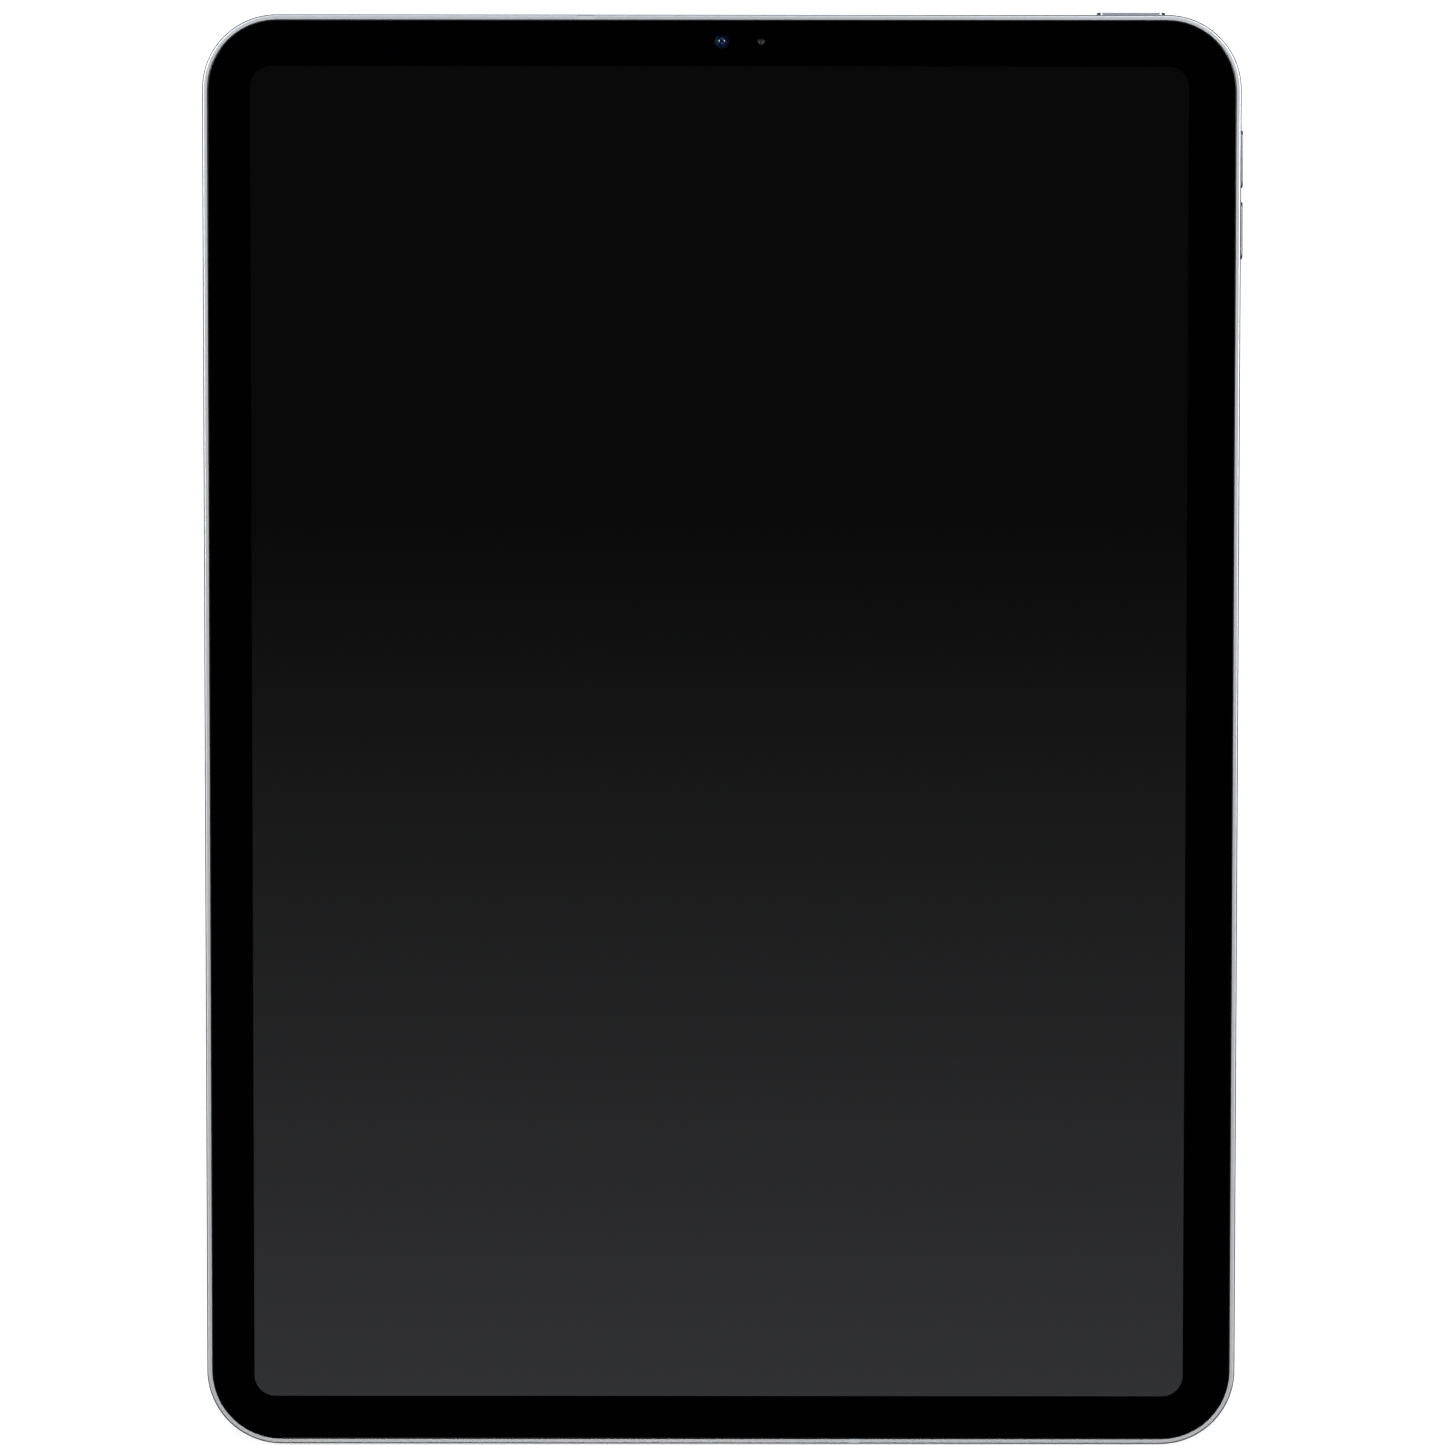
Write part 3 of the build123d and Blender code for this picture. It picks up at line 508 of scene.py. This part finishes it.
def onCorner(point, low, high):
    # How far a point near a corner is from the corner's upright axis, and how far it should be
    # to lie on the outside of the housing
    look = cornerLook
    x = abs(point.x) - (high.x - look["radius"])
    y = abs(point.y) - (high.y - look["radius"])
    if x < -1e-6 or y < -1e-6:
        return None
    inset = 0.0
    for depth, bend in ((high.z - point.z, look["front"]), (point.z - low.z, look["back"])):
        if depth < bend:
            inset = bend - math.sqrt(max(0.0, bend ** 2 - (bend - depth) ** 2))
    return Vector((x, y)), look["radius"] - inset


def smoothCorners(bm):
    # Divides the edges round the outside of the corners and pushes the new points onto the round
    low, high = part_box("rear_housing")

    def outside(vert):
        found = onCorner(vert.co, low, high)
        return found and abs(found[0].length - found[1]) < cornerLook["near"]

    ring = [edge for edge in bm.edges if all(outside(v) for v in edge.verts)]
    print("housing corners:", len(ring), "edges divided")
    made = bmesh.ops.subdivide_edges(bm, edges=ring, cuts=cornerLook["cuts"], use_grid_fill=True)
    for vert in {v for v in made["geom_inner"] if isinstance(v, bmesh.types.BMVert)}:
        found = onCorner(vert.co, low, high)
        if found:
            away, reach = found
            scale = reach / away.length
            vert.co.x += math.copysign(away.x * (scale - 1), vert.co.x)
            vert.co.y += math.copysign(away.y * (scale - 1), vert.co.y)


def mergedCopy(node, piece, body="body", material=None):
    bm = bmesh.new()
    bm.from_mesh(frame["nodes"][node].data)
    bmesh.ops.remove_doubles(bm, verts=bm.verts, dist=1e-6)
    if node == "rear_housing":
        smoothCorners(bm)
    return newPiece(piece, bm, [material or materialOf[slotOf[node]]], body, [node])


for node, piece in (
    ("rear_housing", "housing"),
    ("camera_plateau", "cameraPlateau"),
    ("lens_rings", "lensRings"),
    ("antenna_inserts", "antennaInserts"),
    ("stylus_charging_window", "stylusWindow"),
    ("contact_base", "contactBase"),
    ("usb_connector", "portShell"),
    ("coax_cables", "coaxCables"),
    ("battery_left", "batteryLeft"),
    ("battery_right", "batteryRight"),
    ("board_screws", "boardScrews"),
    ("bracket_screws", "bracketScrews"),
):
    mergedCopy(node, piece)
mergedCopy("power_button", "powerButton", "power_button")
mergedCopy("volume_up_button", "volumeUpButton", "volume_up_button")
mergedCopy("volume_down_button", "volumeDownButton", "volume_down_button")
mergedCopy("sim_tray", "cardTray", "card_tray", aluminium)
print("worked pieces joined")

# Cover glass: one slab whose front shows the inked border, the display, and two clear openings

glassLook = {
    "cornerRadius": 12.0 * mm,
    "edgeRound": 0.15 * mm,
    "cameraOpening": 1.25 * mm,
    "sensorOpening": 0.56 * mm,
    "cornerSteps": 24,
}


def coverGlass():
    low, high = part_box("cover_glass")
    camera = middle("front_camera_lens")[0]
    sensor = middle("ambient_light_sensor")[0]
    steps = glassLook["cornerSteps"]
    halfDisplay = Vector((displayLook["width"] / 2, displayLook["length"] / 2, 0))

    bm = bmesh.new()
    rim = roundedLoop(bm, low, high, glassLook["cornerRadius"], high.z, steps)
    screen = roundedLoop(
        bm, displayLook["middle"] - halfDisplay, displayLook["middle"] + halfDisplay,
        displayLook["radius"], high.z, steps,
    )
    openings = [
        circleLoop(bm, camera, glassLook["cameraOpening"], high.z, 48),
        circleLoop(bm, sensor, glassLook["sensorOpening"], high.z, 32),
    ]
    bmesh.ops.triangle_fill(
        bm, edges=rim + screen + openings[0] + openings[1], use_beauty=True, normal=(0, 0, 1)
    )
    for index, loops in ((1, [screen]), (2, openings)):
        for loop in loops:
            made = bmesh.ops.contextual_create(bm, geom=loop)
            for face in made["faces"]:
                face.material_index = index
    down = bmesh.ops.extrude_face_region(bm, geom=list(bm.faces))
    moved = [v for v in down["geom"] if isinstance(v, bmesh.types.BMVert)]
    bmesh.ops.translate(bm, vec=(0, 0, low.z - high.z), verts=moved)
    bmesh.ops.recalc_face_normals(bm, faces=list(bm.faces))
    edges = [
        e for e in bm.edges
        if min(v.co.z for v in e.verts) > high.z - 1e-6 and e.calc_face_angle(0) > 1.0
    ]
    bmesh.ops.bevel(
        bm, geom=edges, offset=glassLook["edgeRound"], affect="EDGES", segments=4, profile=0.5,
        material=-1, clamp_overlap=False,
    )
    return newPiece(
        "coverGlass", bm, [ink, displayGlass(), clear], "body", ["cover_glass"]
    )


coverGlass()
print("cover glass made")

# Front camera: a dished black barrel with a strongly curved coated element, and the light sensor

frontCameraLook = {
    # in mm
    "chamfer": 0.05,
    "hood": 1.32,           # inside radius of the barrel's mouth
    "hoodDepth": 0.45,      # the mouth narrows over this depth, to just past the element
    "seatDepth": 0.85,
    "play": 0.02,
    "domeRadius": 1.7,
    "domeReach": 1.15,
    # painted reflection: the colour runs from teal at the left to blue at the right, as the lamps'
    # coloured reflections in the coating look, so it is measured from a point beside the lens
    "beside": 1.8,
    "below": 0.3,
    "paintedReflectionReach": 3.0,
    "coating": ("#3FA29A", "#051746", "#1A2C54"),
}


def frontCamera():
    centre, low, high = middle("front_camera_lens")
    look = frontCameraLook
    outer = (high.x - low.x) / 2
    seat = high.z - look["seatDepth"]
    bore = look["domeReach"] + look["play"]
    barrel = bmesh.new()
    turned(barrel, [
        (0, low.z), (outer, low.z), (outer, high.z - look["chamfer"]), (outer - look["chamfer"], high.z),
        (look["hood"], high.z), (bore, high.z - look["hoodDepth"]), (bore, seat), (0, seat),
    ], centre)
    newPiece(
        "frontCameraBarrel", barrel, [materialOf["lens_barrel"]], "body",
        ["front_camera_lens"],
    )
    element = bmesh.new()
    turned(element, dome(high.z - look["play"], look["domeRadius"], look["domeReach"], 1), centre)
    # painted reflection: the element's colour drifts from teal beside the lens to blue across it
    beside = (centre.x - look["beside"] * mm, centre.y, (high.z - look["below"]) * mm)
    glass = coatedLensGlass("coatedFrontLens", beside, look["paintedReflectionReach"] * mm, look["coating"])
    newPiece("frontCameraElement", element, [glass], "body")


sensorLook = {
    # in mm
    "radius": 0.6,
    "depth": 0.7,           # of the round part that stands on the block
    "gap": 0.05,            # between the round part's foot and the block's top
    "land": 0.08,           # flat round the top, then a slope, then the shallow middle of the dish
    "slope": 0.2,
    "slopeDrop": 0.084,
    "dish": 0.12,
    "paintedHighlightAt": (-0.12, 6.2),      # y from the middle and height of the centre of the painted highlight
    "paintedHighlightReach": 0.75,
    "colours": ("#1A1A1A", "#131313", "#0A0A0A"),
    "roughness": (0.4, 0.5),
    "grain": 0.1,
    "relief": 0.004,
}


def smokedDiffuser(centre):
    # Smoked acrylic, moulded with a frosted top: dark grey, with a painted highlight a little towards the
    # port end
    material, tree, shader, place = startMaterial("smokedDiffuser", {"IOR": 1.49})
    roughen(tree, shader, place, sensorLook)
    along, height = sensorLook["paintedHighlightAt"]
    highlightCentre = (centre.x, centre.y + along * mm, height * mm)
    # painted highlight: the colour is lightest at that point and darkens out to its reach
    ringTint(tree, shader, place, highlightCentre, sensorLook["paintedHighlightReach"] * mm, sensorLook["colours"])
    return material


def lightSensor():
    centre, low, high = middle("ambient_light_sensor")
    look = sensorLook
    material = smokedDiffuser(centre)
    r, foot = look["radius"], high.z - look["depth"]
    bm = bmesh.new()
    turned(bm, [
        (0, foot), (r, foot), (r, high.z), (r - look["land"], high.z),
        (r - look["slope"], high.z - look["slopeDrop"]), (0, high.z - look["dish"]),
    ], centre, 48)
    block = bmesh.ops.create_cube(bm, size=mm)["verts"]
    tall = foot - look["gap"] - low.z
    bmesh.ops.scale(bm, vec=(high.x - low.x, high.y - low.y, tall), verts=block)
    bmesh.ops.translate(bm, vec=(centre.x, centre.y, (low.z + tall / 2) * mm), verts=block)
    newPiece("lightSensor", bm, [material], "body", ["ambient_light_sensor"])


frontCamera()
lightSensor()
print("front camera and sensor made")

# Rear cameras: inked glass over a stepped barrel with a coated front element

rearLook = {
    "wide": {
        "barrel": "wide_lens_barrel", "body": "focus_barrel", "clear": 3.4, "element": 1.75,
        "curve": 3.4, "coating": ("#050A1C", "#1A1238", "#06281E"),
    },
    "ultrawide": {
        "barrel": "ultrawide_lens", "body": "body", "clear": 2.9, "element": 1.45,
        "curve": 2.1, "coating": ("#04120E", "#0C2A3A", "#1C1030"),
    },
}
barrelShape = {
    "chamfer": 0.1, "steps": 3, "drop": 0.24, "tread": 0.34, "riser": 0.08,
    "crown": 0.25, "coat": 0.4,     # how far in the element's crown and its coating's centre lie
}
windowBevel = 0.12


def rearLens(name, look):
    centre, low, high = middle(look["barrel"])
    radius = (high.x - low.x) / 2
    # the barrel's mouth faces down, so the steps rise towards the middle
    shape = barrelShape
    r, z = radius - shape["chamfer"], low.z
    profile = [(0, high.z), (radius, high.z), (radius, low.z + shape["chamfer"]), (r, z)]
    for tread in range(shape["steps"]):
        r -= shape["tread"]
        profile.append((r, z))
        r -= shape["riser"]
        z += shape["drop"]
        profile.append((r, z))
    profile.append((0, z))
    barrel = bmesh.new()
    turned(barrel, profile, centre, 80)
    newPiece(
        name + "Barrel", barrel, [materialOf["lens_barrel"]], look["body"],
        [look["barrel"]],
    )
    element = bmesh.new()
    turned(element, dome(low.z + shape["crown"], look["curve"], look["element"], -1), centre, 80)
    front = (centre.x, centre.y, (low.z + shape["coat"]) * mm)
    glass = coatedLensGlass(name + "CoatedLens", front, look["element"] * mm, look["coating"])
    newPiece(name + "Element", element, [glass], look["body"])


def rearWindows():
    # Each window is black inside its rim and clear in the middle, with a polished bevel
    low, high = middle("lens_windows")[1:]
    bm = bmesh.new()
    for look in rearLook.values():
        centre = middle(look["barrel"])[0]
        reach = min(centre.y / mm - low.y, high.y - centre.y / mm)
        clearTo = look["clear"]
        turned(bm, [
            (0, high.z), (clearTo, high.z), (reach, high.z), (reach, low.z + windowBevel),
            (reach - windowBevel, low.z), (clearTo, low.z), (0, low.z),
        ], centre, 96)
        for face in bm.faces:
            away = face.calc_center_median() - centre
            if math.hypot(away.x, away.y) < clearTo * mm:
                face.material_index = 1
    newPiece("rearWindows", bm, [ink, clear], "body", ["lens_windows"])


for name, look in rearLook.items():
    rearLens(name, look)
rearWindows()
print("rear cameras made")

# Flash lens with fresnel rings, and the depth sensor's window

flashLook = {
    "radius": 2.28, "thick": 0.1, "ring": 0.24, "peak": 0.05, "rise": 0.055,
    "colours": ("#D9B84A", "#E9DFB4", "#E6E2D4"),
    "roughness": (0.25, 0.4), "grain": 0.15, "relief": 0.004,
}
phosphorLook = {
    "dark": "#D8B63C", "light": "#E6C858", "roughness": (0.5, 0.65), "grain": 0.05, "relief": 0.004,
}
depthLook = {
    "radius": 3.12, "thick": 0.1, "stand": 0.06, "bevel": 0.05,
    "colours": ("#14080A", "#08060A", "#050506"),
}
proud = 0.005       # the flash lens and the depth window both start this far outside their seats


def frostedFlashLens(centre):
    # Frosted polycarbonate moulded over a yellow phosphor: warm in the middle, milky at the rim
    material, tree, shader, place = startMaterial("frostedFlashLens", {"IOR": 1.58})
    roughen(tree, shader, place, flashLook)
    ringTint(tree, shader, place, centre, flashLook["radius"] * mm, flashLook["colours"])
    return material


def flashLens():
    centre, low, high = middle("flash_module")
    look = flashLook
    face = low.z - proud
    inner = face + look["thick"]
    profile = [(0, inner), (look["radius"], inner), (look["radius"], face)]
    for n in range(int(look["radius"] / look["ring"])):
        r = look["radius"] - n * look["ring"]
        profile.append((r - look["peak"], face - look["rise"]))
        profile.append((r - look["ring"], face))
    profile.append((0, face - look["rise"] / 2))
    bm = bmesh.new()
    turned(bm, profile, centre)
    front = Vector((centre.x, centre.y, face * mm))
    newPiece("flashLens", bm, [frostedFlashLens(front)], "body")


def depthWindow():
    # Infrared-passing glass over the depth sensor: black, with a hint of deep red
    centre, low, high = middle("depth_sensor")
    look = depthLook
    r, face = look["radius"], low.z - proud
    inner, outer = face + look["thick"], face - look["stand"]
    bm = bmesh.new()
    turned(bm, [
        (0, inner), (r, inner), (r, outer + look["bevel"]), (r - look["bevel"], outer), (0, outer),
    ], centre, 80)
    front = (centre.x, centre.y, face * mm)
    glass = coatedLensGlass("infraredGlass", front, r * mm, look["colours"])
    newPiece("depthWindow", bm, [glass], "body")


def flashPhosphor():
    # Silicone filled with phosphor powder, cast: an opaque yellow
    material, tree, shader, place = startMaterial("castPhosphor", {"IOR": 1.41})
    grain = roughen(tree, shader, place, phosphorLook)
    tint(tree, shader, grain, phosphorLook["dark"], phosphorLook["light"])
    return material


materialOf["flash_diffuser"] = flashPhosphor()
flashLens()
depthWindow()
print("flash and depth sensor made")

# Contact pads on the back, dished and bevelled, and the gold contacts inside the port

padLook = {"bevel": 0.08, "land": 0.25, "slope": 0.1, "dish": 0.04}


def contactPads():
    centre, low, high = middle("contact_pads")
    radius = (high.y - low.y) / 2
    pitch = (high.x - low.x) / 2 - radius
    look = padLook
    flat = radius - look["land"]
    bm = bmesh.new()
    for step in (-1, 0, 1):
        turned(bm, [
            (0, high.z), (radius, high.z), (radius, low.z + look["bevel"]),
            (radius - look["bevel"], low.z), (flat, low.z),
            (flat - look["slope"], low.z + look["dish"]), (0, low.z + look["dish"]),
        ], (centre.x + step * pitch * mm, centre.y), 48)
    newPiece("contactPads", bm, [materialOf["gold_contact"]], "body", ["contact_pads"])


portLook = {"contacts": 12, "pitch": 0.5, "size": (0.26, 2.4, 0.03), "setBack": 2.5, "tongue": 0.35}


def portContacts():
    centre, low, high = middle("usb_connector")
    wide, long, thick = portLook["size"]
    bm = bmesh.new()
    for side in (-1, 1):
        for n in range(portLook["contacts"]):
            x = (n - (portLook["contacts"] - 1) / 2) * portLook["pitch"]
            y = low.y + portLook["setBack"]
            z = centre.z / mm + side * (portLook["tongue"] + thick / 2)
            strip = bmesh.ops.create_cube(bm, size=mm)["verts"]
            bmesh.ops.scale(bm, vec=(wide, long, thick), verts=strip)
            bmesh.ops.translate(bm, vec=(x * mm, y * mm, z * mm), verts=strip)
    newPiece("portContacts", bm, [materialOf["gold_contact"]], "body")


contactPads()
portContacts()
print("contacts made")

# Every piece that keeps its mesh from the frame gets the finish of its slot

standing = {node for piece in bpy.data.objects for node in piece.get("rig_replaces", [])}
for node, part in frame["nodes"].items():
    if node not in standing and slotOf[node] in materialOf:
        part.data.materials.clear()
        part.data.materials.append(materialOf[slotOf[node]])
print("inner pieces finished")


# Studio: a lit white table, a soft sky with a dark card overhead, three softboxes

studio = {
    "tableSide": 30.0,
    "tableDark": "#DEDEDE",
    "tableLight": "#E2E2E2",
    "tableGlow": 0.48,
    "tableCloud": 60 * mm,
    "skyStrength": 0.9,
    "skyCool": "#E6EEFF",
    "skyWarm": "#FFF6EC",
    "skyEnds": (0.1, 3.7),      # brightness towards the port end and the camera end
    "endsReach": 0.4,           # how far along the sky goes from one to the other
    "warmReach": 0.7,           # and from the warm to the cool white
    "horizonLevel": 0.1,
    "horizonBand": (0.45, 0.8),     # heights between which the sky rises to full strength
    "cardSide": 0.42,           # tangents of the card's edges, to each side and along the tablet
    "cardBelow": -0.5,          # towards the port end, and above towards the camera end
    "cardAbove": 0.42,
    "cardSoft": 0.05,
    "cardFade": 0.3,            # the softer edge towards the camera end
    # place in metres, side in metres and power in watts of each softbox
    "leftSoftbox": ((-1.15, 0.42, 2.0), 0.65, 16),
    "rightSoftbox": ((1.15, 0.42, 2.0), 0.65, 18),
    "lowSoftbox": ((0.0, -0.8, 2.0), 0.4, 2),
}


def litTable():
    # Opal acrylic, matt on top and lit faintly from below, so edges leave no grey halo on it
    material, tree, shader, place = startMaterial(
        "litOpalTable",
        {"Roughness": 0.8, "Emission Color": (1, 1, 1, 1), "Emission Strength": studio["tableGlow"]},
    )
    cloud = addNode(tree, "TexNoise", {"Scale": 1 / studio["tableCloud"]}, {"Vector": place})
    tint(tree, shader, cloud.outputs["Fac"], studio["tableDark"], studio["tableLight"])
    return material


def makeTable():
    bm = bmesh.new()
    bmesh.ops.create_grid(bm, x_segments=1, y_segments=1, size=studio["tableSide"] / 2)
    bmesh.ops.translate(bm, vec=(0, 0, cadLow.z - 0.02 * mm), verts=bm.verts)
    mesh = bpy.data.meshes.new("table")
    bm.to_mesh(mesh)
    bm.free()
    mesh.materials.append(litTable())
    table = bpy.data.objects.new("table", mesh)
    bpy.context.scene.collection.objects.link(table)


def makeSky():
    world = bpy.data.worlds.new("studioSky")
    bpy.context.scene.world = world
    world.use_nodes = True
    tree = world.node_tree
    tree.nodes.clear()
    way = addNode(tree, "TexCoord").outputs["Generated"]
    parts = addNode(tree, "SeparateXYZ", {}, {"Vector": way}).outputs
    height = addNode(tree, "Math", {1: 0.001}, {0: parts["Z"]}, operation="MAXIMUM").outputs[0]
    across = addNode(tree, "Math", {}, {0: parts["X"], 1: height}, operation="DIVIDE").outputs[0]
    along = addNode(tree, "Math", {}, {0: parts["Y"], 1: height}, operation="DIVIDE").outputs[0]
    aside = addNode(tree, "Math", {}, {0: across}, operation="ABSOLUTE").outputs[0]
    soft = studio["cardSoft"]
    limits = [
        (aside, studio["cardSide"], studio["cardSide"] + soft),
        (along, studio["cardAbove"], studio["cardAbove"] + studio["cardFade"]),
        (along, studio["cardBelow"], studio["cardBelow"] - soft),
    ]
    level = None
    for value, start, end in limits:
        step = addNode(
            tree, "MapRange", {"From Min": start, "From Max": end}, {"Value": value},
            interpolation_type="SMOOTHSTEP",
        ).outputs["Result"]
        if level is None:
            level = step
        else:
            level = addNode(tree, "Math", {}, {0: level, 1: step}, operation="MAXIMUM").outputs[0]
    ends = addNode(
        tree, "MapRange",
        {
            "From Min": -studio["endsReach"], "From Max": studio["endsReach"],
            "To Min": studio["skyEnds"][0], "To Max": studio["skyEnds"][1],
        },
        {"Value": parts["Y"]},
    ).outputs["Result"]
    rise = addNode(
        tree, "MapRange",
        {
            "From Min": studio["horizonBand"][0], "From Max": studio["horizonBand"][1],
            "To Min": studio["horizonLevel"],
        },
        {"Value": parts["Z"]}, interpolation_type="SMOOTHSTEP",
    ).outputs["Result"]
    for factor in (ends, rise):
        level = addNode(tree, "Math", {}, {0: level, 1: factor}, operation="MULTIPLY").outputs[0]
    level = addNode(tree, "Math", {1: studio["skyStrength"]}, {0: level}, operation="MULTIPLY").outputs[0]
    reach = studio["warmReach"]
    share = addNode(tree, "MapRange", {"From Min": -reach, "From Max": reach}, {"Value": parts["Y"]})
    colour = addNode(
        tree, "Mix", {"A": linear(studio["skyWarm"]), "B": linear(studio["skyCool"])},
        {"Factor": share.outputs["Result"]}, data_type="RGBA",
    )
    sky = addNode(tree, "Background", {}, {"Color": colour.outputs[2], "Strength": level})
    addNode(tree, "OutputWorld", {}, {"Surface": sky.outputs["Background"]})


def softbox(name):
    # A square lamp that faces the tablet
    place, size, power = studio[name]
    lamp = bpy.data.lights.new(name, "AREA")
    lamp.shape = "SQUARE"
    lamp.size = size
    lamp.energy = power
    light = bpy.data.objects.new(name, lamp)
    light.location = place
    light.rotation_mode = "QUATERNION"
    light.rotation_quaternion = (-light.location).to_track_quat("-Z", "Y")
    bpy.context.scene.collection.objects.link(light)


cameraLook = {
    "distance": 1.4,
    "lens": 201.96,
    "tilt": 4.412,      # degrees towards the camera end of the tablet
    "roll": 0.0433,
    "aim": Vector((0.193 * mm, 1.983 * mm, 6.6 * mm)),
}


def makeCamera():
    data = bpy.data.cameras.new("camera")
    data.lens = cameraLook["lens"]
    data.sensor_width = 36
    data.clip_end = 50
    camera = bpy.data.objects.new("camera", data)
    tilt = math.radians(cameraLook["tilt"])
    back = Vector((0, math.sin(tilt), math.cos(tilt)))
    camera.location = cameraLook["aim"] + back * cameraLook["distance"]
    turn = Matrix.Rotation(-tilt, 4, "X") @ Matrix.Rotation(math.radians(cameraLook["roll"]), 4, "Z")
    camera.rotation_euler = turn.to_euler()
    bpy.context.scene.collection.objects.link(camera)
    bpy.context.scene.camera = camera


makeTable()
makeSky()
for name in ("leftSoftbox", "rightSoftbox", "lowSoftbox"):
    softbox(name)
makeCamera()
bpy.context.scene.view_settings.view_transform = "Standard"
print("studio ready")
